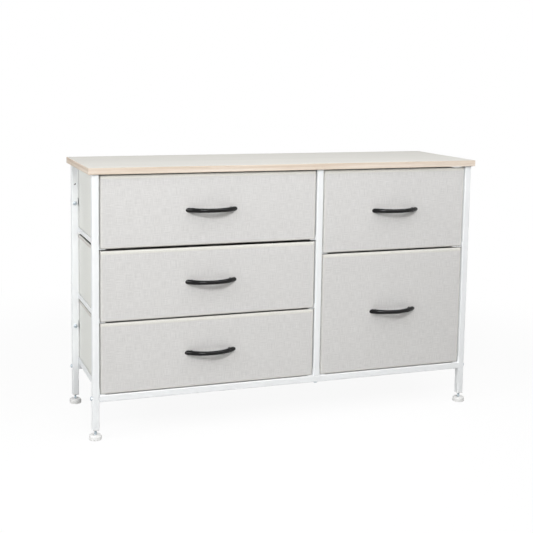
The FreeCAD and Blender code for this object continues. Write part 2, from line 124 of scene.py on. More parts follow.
# %% [markdown]
# ## Soft light
# In the photograph each handle throws a short shadow down and to the right, so the main lamp is a small
# one above the camera. A large softbox on the left lights the side frame, one on the right keeps the far
# drawers from going grey, one overhead lights the board, and a low one behind lights the back for other
# views.

# %% Softboxes
def add_softbox(name, place, aim, width, height, watts):
    """A rectangular area lamp that points from its place at its aim; lengths are in metres."""
    bpy.ops.object.light_add(type="AREA", location=place)
    lamp = bpy.context.object
    lamp.name = name
    lamp.rotation_euler = (Vector(place) - Vector(aim)).to_track_quat("Z", "Y").to_euler()
    lamp.data.shape = "RECTANGLE"
    lamp.data.size = width
    lamp.data.size_y = height
    lamp.data.energy = watts
    lamp.visible_camera = False
    print(name, "at", place, watts, "W")


add_softbox("softbox_front", (-0.85, -2.3, 1.95), (0, -0.1, 0.4), 0.8, 0.6, 34.3)
add_softbox("softbox_left", (-2.2, -0.7, 1.4), (-0.4, 0, 0.4), 1.2, 1.2, 26)
add_softbox("softbox_right", (0.62, -1.0, 1.75), (0.3, -0.1, 0.5), 1.9, 1.1, 15.5)
add_softbox("softbox_above", (-0.1, -0.25, 2.0), (-0.1, -0.05, 0.5), 1.6, 0.9, 5.3)
add_softbox("softbox_behind", (0.8, 2.3, 0.32), (0, 0.15, 0.32), 1.6, 0.55, 20)

# %% [markdown]
# ## Node helpers
# Every finish below is a small tree of shader nodes. Adding a node takes three steps, making it, setting
# its options and filling its inputs, so one helper does all three: a socket is linked, anything else is
# set. Colours are written as 8-bit swatches, as a paint card gives them, and turned into the linear
# values that shaders need.

# %% Node helpers
def swatch(red, green, blue):
    """The linear colour of an 8-bit swatch."""
    shares = [level / 255 for level in (red, green, blue)]
    linear = [s / 12.92 if s <= 0.04045 else ((s + 0.055) / 1.055) ** 2.4 for s in shares]
    return (*linear, 1)


def fill(tree, node, inputs):
    """Links the inputs that are sockets and sets the others."""
    for key, given in inputs.items():
        if isinstance(given, bpy.types.NodeSocket):
            tree.links.new(given, node.inputs[key])
        else:
            node.inputs[key].default_value = given
    return node


def put(tree, kind, inputs=None, **options):
    """Adds a shader node of a kind, such as TexNoise, with its options and inputs."""
    node = tree.nodes.new(f"ShaderNode{kind}")
    for key, option in options.items():
        setattr(node, key, option)
    return fill(tree, node, inputs or {})


def here(tree):
    """The point on the piece, in the object's own coordinates."""
    return put(tree, "TexCoord").outputs["Object"]


def calc(tree, operation, *values):
    """One step of arithmetic on numbers or sockets."""
    return put(tree, "Math", dict(enumerate(values)), operation=operation).outputs[0]


def tint(tree, share, *colours):
    """A colour between two others, each a swatch or a socket, by a share from 0 to 1."""
    first, second = (swatch(*colour) if isinstance(colour, tuple) else colour for colour in colours)
    return put(tree, "Mix", {0: share, 6: first, 7: second}, data_type="RGBA").outputs[2]


def between(tree, value, low, high):
    """Spreads a value from 0 to 1 over another range."""
    return put(tree, "MapRange", {"Value": value, "To Min": low, "To Max": high}).outputs[0]


def sharpen(tree, value, low, high):
    """Spreads what lies between two levels of a value over 0 to 1."""
    return put(tree, "MapRange", {"Value": value, "From Min": low, "From Max": high}).outputs[0]


def stretch(tree, vector, scale):
    """Coordinates multiplied along each axis, to draw a pattern out."""
    return put(tree, "VectorMath", {0: vector, 1: scale}, operation="MULTIPLY").outputs[0]


def noise(tree, vector, scale, detail):
    """A cloud value around 0.5."""
    return put(tree, "TexNoise", {"Vector": vector, "Scale": scale, "Detail": detail}).outputs[0]


print("swatch 188 is", round(swatch(188, 188, 188)[0], 3), "in linear light")

# %% [markdown]
# ## White air and floor
# The dresser stands on a pale floor in front of plain white. The lamps give nearly all the light, so the
# world adds only a little; but what looks straight at it, or shows it in a reflection, gets pure white.
# The floor does the same: seen by the camera it is mostly plain white, with just enough real shading to
# keep the dresser's shadow, and further away the shading fades out so that no horizon shows.

# %% World
AMBIENT = 0.05
WHITE = (1, 1, 1, 1)


def seen_directly(tree):
    """1 for rays that show the background itself: from the camera, in a reflection or through glass."""
    path = put(tree, "LightPath")
    seen = calc(tree, "MAXIMUM", path.outputs["Is Camera Ray"], path.outputs["Is Glossy Ray"])
    return calc(tree, "MAXIMUM", seen, path.outputs["Is Transmission Ray"])


scene.world = bpy.data.worlds.new("white_air")
scene.world.use_nodes = True
air = scene.world.node_tree
air_light = air.nodes["Background"]
air_light.inputs["Color"].default_value = WHITE
air.links.new(between(air, seen_directly(air), AMBIENT, 1), air_light.inputs["Strength"])
print("world strength", AMBIENT, "as light and 1 as background")

# %% Floor
FLOOR_SIDE = 14
SHADE_REACH = 1.6
SHADE_SHARE = 0.07
FLOOR_BOUNCE = (215, 215, 213)
FLOOR_SEEN = (255, 255, 255)

deselect()
bpy.ops.mesh.primitive_plane_add(size=FLOOR_SIDE)
floor = bpy.context.object
floor.name = "studio_floor"
floor_finish = bpy.data.materials.new("studio_floor")
floor_finish.use_nodes = True
tree = floor_finish.node_tree
tree.nodes.remove(tree.nodes["Principled BSDF"])
away = put(tree, "VectorMath", {0: here(tree)}, operation="LENGTH").outputs["Value"]
fade = put(tree, "MapRange", {
    "Value": away,
    "From Min": 0.5 * SHADE_REACH,
    "From Max": SHADE_REACH,
    "To Min": SHADE_SHARE,
    "To Max": 0.0,
}, interpolation_type="SMOOTHSTEP").outputs[0]
seen = seen_directly(tree)
plain_white = calc(tree, "MULTIPLY", seen, calc(tree, "SUBTRACT", 1.0, fade))
shaded = put(tree, "BsdfDiffuse", {"Color": tint(tree, seen, FLOOR_BOUNCE, FLOOR_SEEN)})
glow = put(tree, "Emission", {"Color": WHITE})
mixed = put(tree, "MixShader", {0: plain_white, 1: shaded.outputs[0], 2: glow.outputs[0]})
tree.links.new(mixed.outputs[0], tree.nodes["Material Output"].inputs["Surface"])
floor.data.materials.append(floor_finish)
print("floor", FLOOR_SIDE, "m square")

# %% [markdown]
# ## Shared surface effects
# Several finishes need the same effects: threads, wood grain, the fine skin of paint and plastic, dust
# that settles on top, and edges rubbed by use. Each is a node group, built once and placed in a finish
# with its own values. A group puts out only masks and heights that change over the surface; the shader
# that uses them stays in the finish.

# %% Group helper
def new_group(name, inputs, outputs):
    """An empty shader group with named sockets: its tree, what it is given, and what it puts out."""
    tree = bpy.data.node_groups.new(name, "ShaderNodeTree")
    for label in inputs:
        kind = "NodeSocketVector" if label == "Vector" else "NodeSocketFloat"
        tree.interface.new_socket(label, in_out="INPUT", socket_type=kind)
    for label in outputs:
        tree.interface.new_socket(label, in_out="OUTPUT", socket_type="NodeSocketFloat")
    given = tree.nodes.new("NodeGroupInput").outputs
    result = tree.nodes.new("NodeGroupOutput")
    return tree, given, result


def use(tree, group, vector, **inputs):
    """Places a group in a finish, its pattern laid by a vector, and returns its outputs."""
    node = tree.nodes.new("ShaderNodeGroup")
    node.node_tree = group
    return fill(tree, node, {"Vector": vector, **inputs}).outputs


print("group helpers ready")

# %% [markdown]
# ### Plain weave
# In a plain weave each thread goes over one crossing thread and under the next. A sine along each
# direction gives round threads, and the product of both sines says which one is on top. Real linen-look
# yarn is uneven, so the threads wander a little and thick places, called slubs, draw fine streaks both
# ways.

# %% Plain weave group
WANDER_SCALE = 90.0
WANDER = 0.6 * MM
CROSSING = 0.4
SLUB_ALONG = 45
SLUB_ACROSS = 1100
SLUB_RELIEF = 0.35

weave_group, given, result = new_group("plain_weave", ["Vector", "Threads"], ["Height", "Tone"])
tree = weave_group
wander = put(tree, "TexNoise", {"Vector": given["Vector"], "Scale": WANDER_SCALE, "Detail": 1.0})
shifts = {0: wander.outputs["Color"], 1: (WANDER,) * 3, 2: given["Vector"]}
axes = put(tree, "SeparateXYZ", {0: put(tree, "VectorMath", shifts, operation="MULTIPLY_ADD").outputs[0]})
pace = calc(tree, "MULTIPLY", given["Threads"], math.pi)
warp = calc(tree, "SINE", calc(tree, "MULTIPLY", axes.outputs["X"], pace))
weft = calc(tree, "SINE", calc(tree, "MULTIPLY", axes.outputs["Y"], pace))
over = calc(tree, "MULTIPLY", warp, weft)
warp_top = calc(tree, "MULTIPLY_ADD", over, CROSSING, 1 - CROSSING)
weft_top = calc(tree, "MULTIPLY_ADD", over, -CROSSING, 1 - CROSSING)
warp_height = calc(tree, "MULTIPLY", calc(tree, "ABSOLUTE", warp), warp_top)
weft_height = calc(tree, "MULTIPLY", calc(tree, "ABSOLUTE", weft), weft_top)
threads = calc(tree, "MAXIMUM", warp_height, weft_height)
weft_slub = noise(tree, stretch(tree, given["Vector"], (SLUB_ALONG, SLUB_ACROSS, 1)), 1.0, 1.0)
warp_slub = noise(tree, stretch(tree, given["Vector"], (SLUB_ACROSS, SLUB_ALONG, 1)), 1.0, 1.0)
slubs = calc(tree, "ADD", weft_slub, warp_slub)
height = calc(tree, "MULTIPLY_ADD", slubs, SLUB_RELIEF, threads)
fill(tree, result, {"Height": height, "Tone": calc(tree, "MULTIPLY", slubs, 0.5)})
print("weave group:", len(tree.nodes), "nodes")

# %% [markdown]
# ### Wood grain
# A printed wood look has broad streaks along the board and fine short pores on them. Both are clouds that
# are drawn out along the grain, here along the first axis: slow along it and quick across it.

# %% Wood grain group
STREAK_STRETCH = (1.6, 38, 38)
PORE_STRETCH = (16, 700, 700)

grain_group, given, result = new_group("wood_grain", ["Vector"], ["Streak", "Pore"])
tree = grain_group
streak = noise(tree, stretch(tree, given["Vector"], STREAK_STRETCH), 1.0, 4.0)
pore = noise(tree, stretch(tree, given["Vector"], PORE_STRETCH), 1.0, 2.0)
fill(tree, result, {"Streak": streak, "Pore": sharpen(tree, pore, 0.58, 0.72)})
print("grain group:", len(tree.nodes), "nodes")

# %% [markdown]
# ### Fine skin, dust and rubbed edges
# Sprayed paint and moulded plastic have a fine skin, with bumps about a millimetre wide, and slow cloudy
# changes. Dust lies where a face looks up, so its mask comes from the surface direction. Rubbed edges are
# found by comparing the real surface direction with a rounded-off one: they differ only near an edge.

# %% Fine skin group
skin_group, given, result = new_group("fine_skin", ["Vector", "Grains"], ["Height", "Cloud"])
tree = skin_group
height = noise(tree, given["Vector"], given["Grains"], 2.0)
fill(tree, result, {"Height": height, "Cloud": noise(tree, given["Vector"], 22.0, 3.0)})
print("skin group:", len(tree.nodes), "nodes")

# %% Dust group
dust_group, given, result = new_group("settled_dust", ["Vector", "Amount"], ["Mask"])
tree = dust_group
facing = put(tree, "SeparateXYZ", {0: put(tree, "NewGeometry").outputs["Normal"]}).outputs["Z"]
lying = sharpen(tree, facing, 0.55, 1.0)
patches = noise(tree, given["Vector"], 35.0, 4.0)
dust_mask = calc(tree, "MULTIPLY", calc(tree, "MULTIPLY", lying, patches), given["Amount"])
fill(tree, result, {"Mask": dust_mask})
print("dust group:", len(tree.nodes), "nodes")

# %% Rubbed edge group
rub_group, given, result = new_group("rubbed_edges", ["Vector", "Width"], ["Mask"])
tree = rub_group
rounded = put(tree, "Bevel", {"Radius": given["Width"]}, samples=4).outputs[0]
real = put(tree, "NewGeometry").outputs["Normal"]
match = put(tree, "VectorMath", {0: rounded, 1: real}, operation="DOT_PRODUCT").outputs["Value"]
edge = sharpen(tree, match, 0.97, 0.8)
broken = noise(tree, given["Vector"], 60.0, 3.0)
fill(tree, result, {"Mask": calc(tree, "MULTIPLY", edge, broken)})
print("rub group:", len(tree.nodes), "nodes")

# %% [markdown]
# ## Finish helper
# A finish starts as one Principled shader. Numbers that hold for the whole surface are set on its own
# sockets, and only what changes over the surface is linked. Patterns are placed by the point on the piece,
# in its own coordinates or on a UV map.

# %% Finish helper
SHADER = "Principled BSDF"


def new_finish(name, uv_map=None, **constants):
    """A material, its tree and the point on the piece. In a constant's name, an underscore is a space."""
    finish = bpy.data.materials.new(name)
    finish.use_nodes = True
    tree = finish.node_tree
    for socket, value in constants.items():
        tree.nodes[SHADER].inputs[socket.replace("_", " ")].default_value = value
    spot = put(tree, "UVMap", uv_map=uv_map).outputs[0] if uv_map else here(tree)
    return finish, tree, spot


def coat(tree, colour, cloud, roughness):
    """Gives the shader its colour, and a roughness that follows a cloud from one level to another."""
    fill(tree, tree.nodes[SHADER], {"Base Color": colour, "Roughness": between(tree, cloud, *roughness)})


def raise_surface(tree, height, distance):
    """Feeds a height into the shader's normal as a bump of a distance in metres."""
    bump = put(tree, "Bump", {"Height": height, "Distance": distance})
    tree.links.new(bump.outputs[0], tree.nodes[SHADER].inputs["Normal"])


def dress(names, finish):
    """Puts a finish on CAD nodes, whose shapes stay as they are."""
    for name in names:
        for material_slot in nodes[name].material_slots:
            material_slot.material = finish
    print(finish.name, "on", len(names), "CAD nodes")


print("finish helpers ready")

# %% [markdown]
# ## Powder-coated steel
# Posts, beams, bars, strips and runners are steel with a white powder coat: satin, with a slight orange
# peel, a little thinner and greyer along the edges, and with some dust on the upper faces. The coat could
# be modelled as a smooth white, but then the long posts would look like paper.

# %% Powder coat
frame_paint, tree, spot = new_finish("frame_powder_coat", Specular_IOR_Level=0.35)
skin = use(tree, skin_group, spot, Grains=800.0)
worn = use(tree, rub_group, spot, Width=1.2 * MM)["Mask"]
dusty = use(tree, dust_group, spot, Amount=0.35)["Mask"]
colour = tint(tree, skin["Cloud"], (240, 242, 244), (247, 249, 250))
colour = tint(tree, calc(tree, "MULTIPLY", worn, 0.5), colour, (222, 224, 224))
colour = tint(tree, dusty, colour, (226, 222, 214))
coat(tree, colour, skin["Cloud"], roughness=(0.3, 0.5))
raise_surface(tree, skin["Height"], 0.06 * MM)
STEEL = ("post_", "beam_", "top_bar_", "rear_strip_", "runner_")
dress([name for name in nodes if name.startswith(STEEL)], frame_paint)

# %% [markdown]
# ## Zinc-plated fasteners
# Bolts, screws and the feet's stems are plated with bluish zinc. Plating is bright but never even, so a
# metallic shader gets cloudy roughness and a little tarnish in the colour.

# %% Zinc
zinc, tree, spot = new_finish("blue_zinc", Metallic=0.9)
skin = use(tree, skin_group, spot, Grains=2500.0)
cloud = noise(tree, spot, 240.0, 3.0)
colour = tint(tree, cloud, (172, 182, 189), (211, 218, 223))
coat(tree, colour, cloud, roughness=(0.3, 0.5))
raise_surface(tree, skin["Height"], 0.02 * MM)
dress([name for name in nodes if name.endswith(("_screws", "_bolts"))], zinc)

# %% [markdown]
# ## Modelling helpers
# Modelling by hand means adding a primitive, going into edit mode, selecting some faces or edges and
# using an operator on them. Operators act on everything that is selected, so each new piece starts from
# an empty selection, and inside edit mode a test picks what the next operator works on.

# %% Piece helpers
def alone(piece):
    """Makes a piece the only selected object, and the active one."""
    deselect()
    piece.select_set(True)
    bpy.context.view_layer.objects.active = piece


def place(piece, name):
    """Names a new piece and moves its place into its mesh."""
    piece.name = name
    piece.data.name = name
    alone(piece)
    bpy.ops.object.transform_apply(location=True, rotation=True, scale=True)
    return piece


def add_block(name, low, high):
    """A block between two corners."""
    deselect()
    bpy.ops.mesh.primitive_cube_add(size=1, location=(low + high) / 2, scale=high - low)
    return place(bpy.context.object, name)


print("piece helpers ready")


# %% Edit-mode helpers
@contextmanager
def editing(piece):
    """Edit mode on one piece, and back to object mode afterwards."""
    alone(piece)
    bpy.ops.object.mode_set(mode="EDIT")
    yield
    bpy.ops.object.mode_set(mode="OBJECT")


def pick(piece, kind, wanted):
    """In edit mode, selects the vertices, edges or faces that pass a test."""
    bpy.ops.mesh.select_mode(type=kind)
    bpy.ops.mesh.select_all(action="DESELECT")
    mesh = bmesh.from_edit_mesh(piece.data)
    mesh.normal_update()
    for part in {"VERT": mesh.verts, "EDGE": mesh.edges, "FACE": mesh.faces}[kind]:
        if wanted(part):
            part.select_set(True)
    mesh.select_flush_mode()
    bmesh.update_edit_mesh(piece.data)


def pick_all():
    """In edit mode, selects the whole mesh."""
    bpy.ops.mesh.select_all(action="SELECT")


def round_off(width, segments):
    """In edit mode, bevels the selected edges."""
    bpy.ops.mesh.bevel(offset=width, segments=segments, affect="EDGES")


def open_up(piece, removed, width, segments):
    """In edit mode, takes out faces by a test and bevels the edges between the others."""
    pick(piece, "FACE", removed)
    bpy.ops.mesh.delete(type="FACE")
    pick(piece, "EDGE", lambda edge: not edge.is_boundary)
    round_off(width, segments)


def middle(edge):
    """The middle of an edge."""
    return (edge.verts[0].co + edge.verts[1].co) / 2


def lies_flat(face):
    """Whether a face looks straight up or down."""
    return abs(face.normal.z) > 0.9


print("edit-mode helpers ready")

# %% Finishing helpers
SMOOTH_ANGLE = math.radians(40)


def give(piece, kind, **settings):
    """Adds a modifier with these settings and applies it."""
    modifier = piece.modifiers.new(kind.lower(), kind)
    for key, setting in settings.items():
        setattr(modifier, key, setting)
    alone(piece)
    bpy.ops.object.modifier_apply(modifier=modifier.name)


def settle(piece, body, stands_for=()):
    """Smooths a piece, all but its large flat faces, and puts it on its body in place of its CAD nodes."""
    alone(piece)
    bpy.ops.object.shade_smooth_by_angle(angle=SMOOTH_ANGLE)
    give(piece, "WEIGHTED_NORMAL", keep_sharp=True)
    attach(piece, body)
    if stands_for:
        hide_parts(*stands_for)
    print(piece.name, len(piece.data.polygons), "faces on", body)


print("pieces are smoothed below", round(math.degrees(SMOOTH_ANGLE)), "degrees")

# %% [markdown]
# ## Bare bores of the rear posts
# Near the top of each rear post is a hole for the screw of a wall strap. Looking into it, one sees the
# tube from inside, where no powder reaches: bare steel, painted near-black so that it also stands in for
# the shade inside the tube. The CAD tube has one finish all over, so a thin lining with the same hole
# through it, cut by a Boolean, gives the inside its own.

# %% Bare bores
TUBE_WALL = 1.2 * MM
TUBE_ROUND = 0.8 * MM
LINING_REACH = 10 * MM
LINING_FILM = 0.1 * MM
DRILL_LENGTH = 30 * MM
DRILL_SIDES = 32

bare_steel_and_shade, tree, spot = new_finish("bare_steel_and_shade", Specular_IOR_Level=0.3)
skin = use(tree, skin_group, spot, Grains=1800.0)
rust = noise(tree, spot, 300.0, 4.0)
# near-black: bare steel, darkened further as painted shade for the inside of the tube
colour = tint(tree, rust, (24, 23, 23), (44, 42, 40))
coat(tree, colour, rust, roughness=(0.45, 0.7))
raise_surface(tree, skin["Height"], 0.04 * MM)

strap_holes = next(mount for mount in frame["record"]["mounts"] if mount["name"] == "wall_strap_holes")


def line_bore(side):
    """A lining of bare steel, painted near-black as the shade inside the tube, in one rear post around its
    strap hole.
    """
    low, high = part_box(f"post_rear_{side}")
    level = strap_holes["pos_m"][2]
    inset = Vector((TUBE_WALL, TUBE_WALL, 0))
    low = Vector((low.x, low.y, level - LINING_REACH)) + inset
    high = Vector((high.x, high.y, level + LINING_REACH)) - inset
    bore = add_block(f"post_rear_{side}_bore", low, high)
    with editing(bore):
        open_up(bore, lies_flat, TUBE_ROUND, segments=3)
    give(bore, "SOLIDIFY", thickness=LINING_FILM, offset=-1, use_even_offset=True)
    deselect()
    bpy.ops.mesh.primitive_cylinder_add(
        vertices=DRILL_SIDES, radius=strap_holes["dims"]["hole_r_mm"] * MM, depth=DRILL_LENGTH,
        location=((low.x + high.x) / 2, (low.y + high.y) / 2, level), rotation=(math.pi / 2, 0, 0),
    )
    drill = bpy.context.object
    give(bore, "BOOLEAN", object=drill, operation="DIFFERENCE", solver="EXACT")
    bpy.data.objects.remove(drill)
    bore.data.materials.append(bare_steel_and_shade)
    return bore


for side in ("left", "right"):
    settle(line_bore(side), "frame")

# %% [markdown]
# ## Board finishes
# The top board is chipboard with a pale printed foil on its faces and a beige wood-look band around its
# edges. The foil's grain is faint and runs along the board. The band has its own, stronger grain along
# its length, so it follows a UV map in metres that is laid along each side.

# %% Board foil and edge band
foil, tree, spot = new_finish("board_foil", Specular_IOR_Level=0.25)
grain = use(tree, grain_group, spot)
dusty = use(tree, dust_group, spot, Amount=0.12)["Mask"]
colour = tint(tree, grain["Streak"], (216, 215, 209), (230, 228, 223))
colour = tint(tree, calc(tree, "MULTIPLY", grain["Pore"], 0.25), colour, (196, 191, 182))
colour = tint(tree, dusty, colour, (214, 211, 205))
coat(tree, colour, grain["Streak"], roughness=(0.58, 0.7))
raise_surface(tree, grain["Pore"], -0.04 * MM)

edge_band, tree, spot = new_finish("board_edge_band", uv_map="along", Specular_IOR_Level=0.2)
grain = use(tree, grain_group, stretch(tree, spot, (2.0, 3.0, 1.0)))
worn = use(tree, rub_group, spot, Width=1.5 * MM)["Mask"]
streak = sharpen(tree, grain["Streak"], 0.3, 0.7)
colour = tint(tree, streak, (213, 195, 176), (240, 229, 217))
colour = tint(tree, calc(tree, "MULTIPLY", grain["Pore"], 0.4), colour, (184, 160, 136))
colour = tint(tree, calc(tree, "MULTIPLY", worn, 0.5), colour, (238, 230, 220))
coat(tree, colour, grain["Streak"], roughness=(0.65, 0.8))
raise_surface(tree, grain["Pore"], -0.05 * MM)
print("board finishes:", foil.name, edge_band.name)

# %% [markdown]
# ## Board
# The board is two pieces, as it is made: a panel with its foil, and a band one millimetre thick glued
# around it. A single block with a rounded edge would be quicker, but foil and band meet in a fine line
# just inside the edge, and the band's arris is what catches the light.

# %% Board panel and band
BAND_THICKNESS = 1.0 * MM
BAND_ARRIS = 0.6 * MM
BOARD_CORNER = 1.5 * MM
PANEL_EASE = 0.2 * MM

board_low, board_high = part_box("top_board")
band_inset = Vector((BAND_THICKNESS, BAND_THICKNESS, 0))
panel = add_block("board_panel", board_low + band_inset, board_high - band_inset)
panel.data.materials.append(foil)
with editing(panel):
    pick_all()
    round_off(PANEL_EASE, segments=2)
settle(panel, "frame", stands_for=["top_board"])

band = add_block("board_band", board_low, board_high)
band.data.materials.append(edge_band)
with editing(band):
    open_up(band, lies_flat, BOARD_CORNER, segments=4)
give(band, "SOLIDIFY", thickness=BAND_THICKNESS, offset=-1, use_even_offset=True)


def is_arris(edge):
    """Whether an edge lies between the band's outside and its upper or lower edge face."""
    lying = [face for face in edge.link_faces if lies_flat(face)]
    upright = [face for face in edge.link_faces if not lies_flat(face)]
    outside = [face for face in upright if face.normal.xy.dot(middle(edge).xy) > 0]
    return bool(lying and outside)


with editing(band):
    pick(band, "EDGE", is_arris)
    round_off(BAND_ARRIS, segments=3)
    pick_all()
    bpy.ops.uv.cube_project(cube_size=1.0)
band.data.uv_layers[0].name = "along"
settle(band, "frame")
board_size = [round(side / MM, 2) for side in board_high - board_low]
print("board", board_size, "mm")

# %% [markdown]
# ## Cloth finishes
# The drawers are sewn from four cloths: an off-white linen look in front, a white felted cloth at the
# sides and back, a dark one underneath and a grey lining inside. They use a UV map in metres, so the
# threads run along each wall. The rim has a cream twill tape, sewn with cream thread, on object
# coordinates. Folds of the linen are painted paler, partly as rubbed cloth and partly as a painted
# highlight for the light that their rounded edges catch: a value called fold is kept on the mesh, 1 on a
# fold and 0 away from it.

# %% Linen-look cloth
THREADS = 1250.0
TONE_SPREAD = (-1.7, 2.7)

linen, tree, spot = new_finish(
    "linen_cloth", uv_map="cloth", Specular_IOR_Level=0.2, Sheen_Weight=0.15, Sheen_Roughness=0.5,
)
weave = use(tree, weave_group, spot, Threads=THREADS)
fold = put(tree, "Attribute", attribute_name="fold").outputs["Fac"]
colour = tint(tree, between(tree, weave["Tone"], *TONE_SPREAD), (210, 209, 208), (228, 227, 226))
patchy = noise(tree, spot, 26.0, 3.0)
colour = tint(tree, between(tree, patchy, 0.0, 0.3), colour, (213, 211, 208))
# folds painted paler: partly rubbed cloth, partly a painted highlight on the rounded folds
colour = tint(tree, calc(tree, "MULTIPLY", fold, 0.3), colour, (234, 231, 223))
coat(tree, colour, weave["Tone"], roughness=(0.8, 0.98))
raise_surface(tree, weave["Height"], 0.12 * MM)
print(linen.name, "has", THREADS, "threads a metre")

# %% Felted cloths
BONDING_DOTS = 620.0


def felted_cloth(name, dark, pale, pressed):
    """A non-woven cloth of pressed fibres with a grid of bonding dots, in three swatches."""
    finish, tree, spot = new_finish(name, uv_map="cloth", Specular_IOR_Level=0.15)
    dots = put(tree, "TexVoronoi", {"Vector": spot, "Scale": BONDING_DOTS, "Randomness": 0.15})
    dimple = sharpen(tree, dots.outputs["Distance"], 0.12, 0.34)
    fibre = noise(tree, stretch(tree, spot, (260, 900, 1)), 1.0, 3.0)
    colour = tint(tree, fibre, dark, pale)
    colour = tint(tree, between(tree, dimple, 0.35, 0.0), colour, pressed)
    coat(tree, colour, fibre, roughness=(0.75, 0.95))
    raise_surface(tree, calc(tree, "MULTIPLY_ADD", fibre, 0.3, dimple), 0.1 * MM)
    print(finish.name, "with", BONDING_DOTS, "dots a metre")
    return finish


side_cloth = felted_cloth("white_side_cloth", (238, 239, 235), (250, 251, 247), (225, 226, 221))
under_cloth = felted_cloth("dark_under_cloth", (84, 83, 81), (112, 111, 108), (66, 65, 63))
lining = felted_cloth("grey_lining", (196, 195, 190), (222, 221, 217), (176, 175, 170))

# %% Rim tape and thread
tape, tree, spot = new_finish("cream_twill_tape", Specular_IOR_Level=0.2, Sheen_Weight=0.1)
turn = put(tree, "Mapping", {"Vector": spot, "Rotation": (0.6, 0.4, 0.8)}).outputs[0]
rib = put(tree, "TexWave", {"Vector": turn, "Scale": 260.0, "Distortion": 0.6, "Detail": 1.0}).outputs["Fac"]
cloud = noise(tree, spot, 180.0, 3.0)
colour = tint(tree, cloud, (217, 215, 209), (231, 229, 224))
coat(tree, colour, cloud, roughness=(0.75, 0.95))
raise_surface(tree, rib, 0.08 * MM)

thread, tree, spot = new_finish("cream_thread", Specular_IOR_Level=0.3)
twist = noise(tree, spot, 1400.0, 1.0)
colour = tint(tree, twist, (190, 184, 172), (222, 217, 207))
coat(tree, colour, twist, roughness=(0.5, 0.8))
raise_surface(tree, twist, 0.05 * MM)
print("sewn finishes:", tape.name, thread.name)

# %% [markdown]
# ## Drawer cloth
# A drawer is a box of cloth that is stiff in front and under its base board and soft at the sides and
# back. Five flat plates would show sharp corners and dead straight walls. Instead one open box gets
# rounded sewn corners, a fine grid, and a weight for how freely the cloth gives at each point. Displacing
# the grid by a cloud in proportion to that weight bows and ripples the soft walls and leaves folds and
# front all but flat.

# %% Cloth sizes
CLOTH = 2.4 * MM
SIDE_EASE = 0.9 * MM
FOLD_RADIUS = 3.4 * MM
FOLD_REACH = 6 * MM
GRID = 9 * MM
BOW = 2.4 * MM
BOW_SIZE = 110 * MM
RIPPLE = 0.7 * MM
RIPPLE_SIZE = 32 * MM
SLACK_FROM_FOLD = (12 * MM, 75 * MM)
SLACK_FROM_FLOOR = (14 * MM, 75 * MM)
FRONT_SLACK = 0.1
RIM_SAG = 5 * MM
SAG_FROM_FRONT = (6 * MM, 40 * MM)
RIM_LEAN = 2.5 * MM
LEAN_HEIGHT = 9 * MM
LEAN_DEPTH = 5 * FOLD_RADIUS
TAPE_HEIGHT = 8.2 * MM
SEAM_DROP = 4.4 * MM
HAIR = MM / 100
RIM_RISE = {
    "left_upper": 2.6 * MM, "left_middle": -1.3 * MM, "left_lower": 0.8 * MM,
    "right_upper": 2.6 * MM, "right_lower": 0.0,
}
print("cloth", CLOTH / MM, "mm thick on a grid of", round(GRID / MM), "mm")

# %% How the cloth gives
def smooth(value, start, end):
    """0 before start, 1 after end and a smooth step between."""
    share = min(max((value - start) / (end - start), 0), 1)
    return share * share * (3 - 2 * share)


def fold_gaps(point, low, high):
    """Distances to the nearest side, the nearest of front and back, and the floor."""
    return (
        min(point.x - low.x, high.x - point.x),
        min(point.y - low.y, high.y - point.y),
        point.z - low.z,
    )


def slack_at(point, low, high):
    """How freely the cloth gives: 0 along folds and on the floor, a little in front, 1 in soft walls."""
    side, end, rise = fold_gaps(point, low, high)
    along = max(side, end)
    loose = smooth(along, *SLACK_FROM_FOLD) * smooth(rise, *SLACK_FROM_FLOOR)
    in_front = point.y - low.y < FOLD_RADIUS
    return loose * (FRONT_SLACK if in_front else 1)


def fold_at(point, low, high):
    """1 on a sewn corner or lower edge, fading to 0 a few millimetres away."""
    nearest = sorted(fold_gaps(point, low, high))[1]
    return 1 - smooth(nearest, 0.5 * FOLD_REACH, FOLD_REACH)


def sag_at(point, low, high):
    """How far the rim gives: 0 along the stiff front and on the floor, 1 on the rim of the soft walls."""
    behind_front = smooth(point.y - low.y, *SAG_FROM_FRONT)
    return behind_front * smooth(point.z, (low.z + high.z) / 2, high.z)


def lean_at(point, low, high):
    """How far the rim leans back above the stiff front panel: 1 on the front rim, 0 elsewhere."""
    above_panel = max(point.z - high.z + LEAN_HEIGHT, 0) / LEAN_HEIGHT
    return above_panel ** 2 * (1 - smooth(point.y - low.y, FOLD_RADIUS, LEAN_DEPTH))


def weigh(cloth, low, high):
    """Keeps on the mesh how far each point gives, and which points are taped, sewn or folded."""
    slack, sag, lean, bound, seam = (
        cloth.vertex_groups.new(name=group) for group in ("slack", "sag", "lean", "bound", "seam")
    )
    for vertex in cloth.data.vertices:
        slack.add([vertex.index], slack_at(vertex.co, low, high), "REPLACE")
        sag.add([vertex.index], sag_at(vertex.co, low, high), "REPLACE")
        lean.add([vertex.index], lean_at(vertex.co, low, high), "REPLACE")
        under_rim = high.z - vertex.co.z
        if under_rim < TAPE_HEIGHT + HAIR:
            bound.add([vertex.index], 1, "REPLACE")
        if abs(under_rim - SEAM_DROP) < HAIR:
            seam.add([vertex.index], 1, "REPLACE")
    folds = [fold_at(vertex.co, low, high) for vertex in cloth.data.vertices]
    cloth.data.attributes.new("fold", "FLOAT", "POINT").data.foreach_set("value", folds)


print("front slack", FRONT_SLACK, "of that in the other walls")

# %% Sew the open boxes
OUTSIDE = (linen, side_cloth, under_cloth)


def cut_at(axis, level):
    """In edit mode, cuts the whole mesh by a plane across an axis."""
    across = Vector((axis == 0, axis == 1, axis == 2))
    pick_all()
    bpy.ops.mesh.bisect(plane_co=across * level, plane_no=across)


def runs_along(edge, axis):
    """Whether an edge is long and parallel to an axis."""
    reach = edge.verts[1].co - edge.verts[0].co
    return reach.length > 2 * GRID and abs(reach[axis]) > 0.99 * reach.length


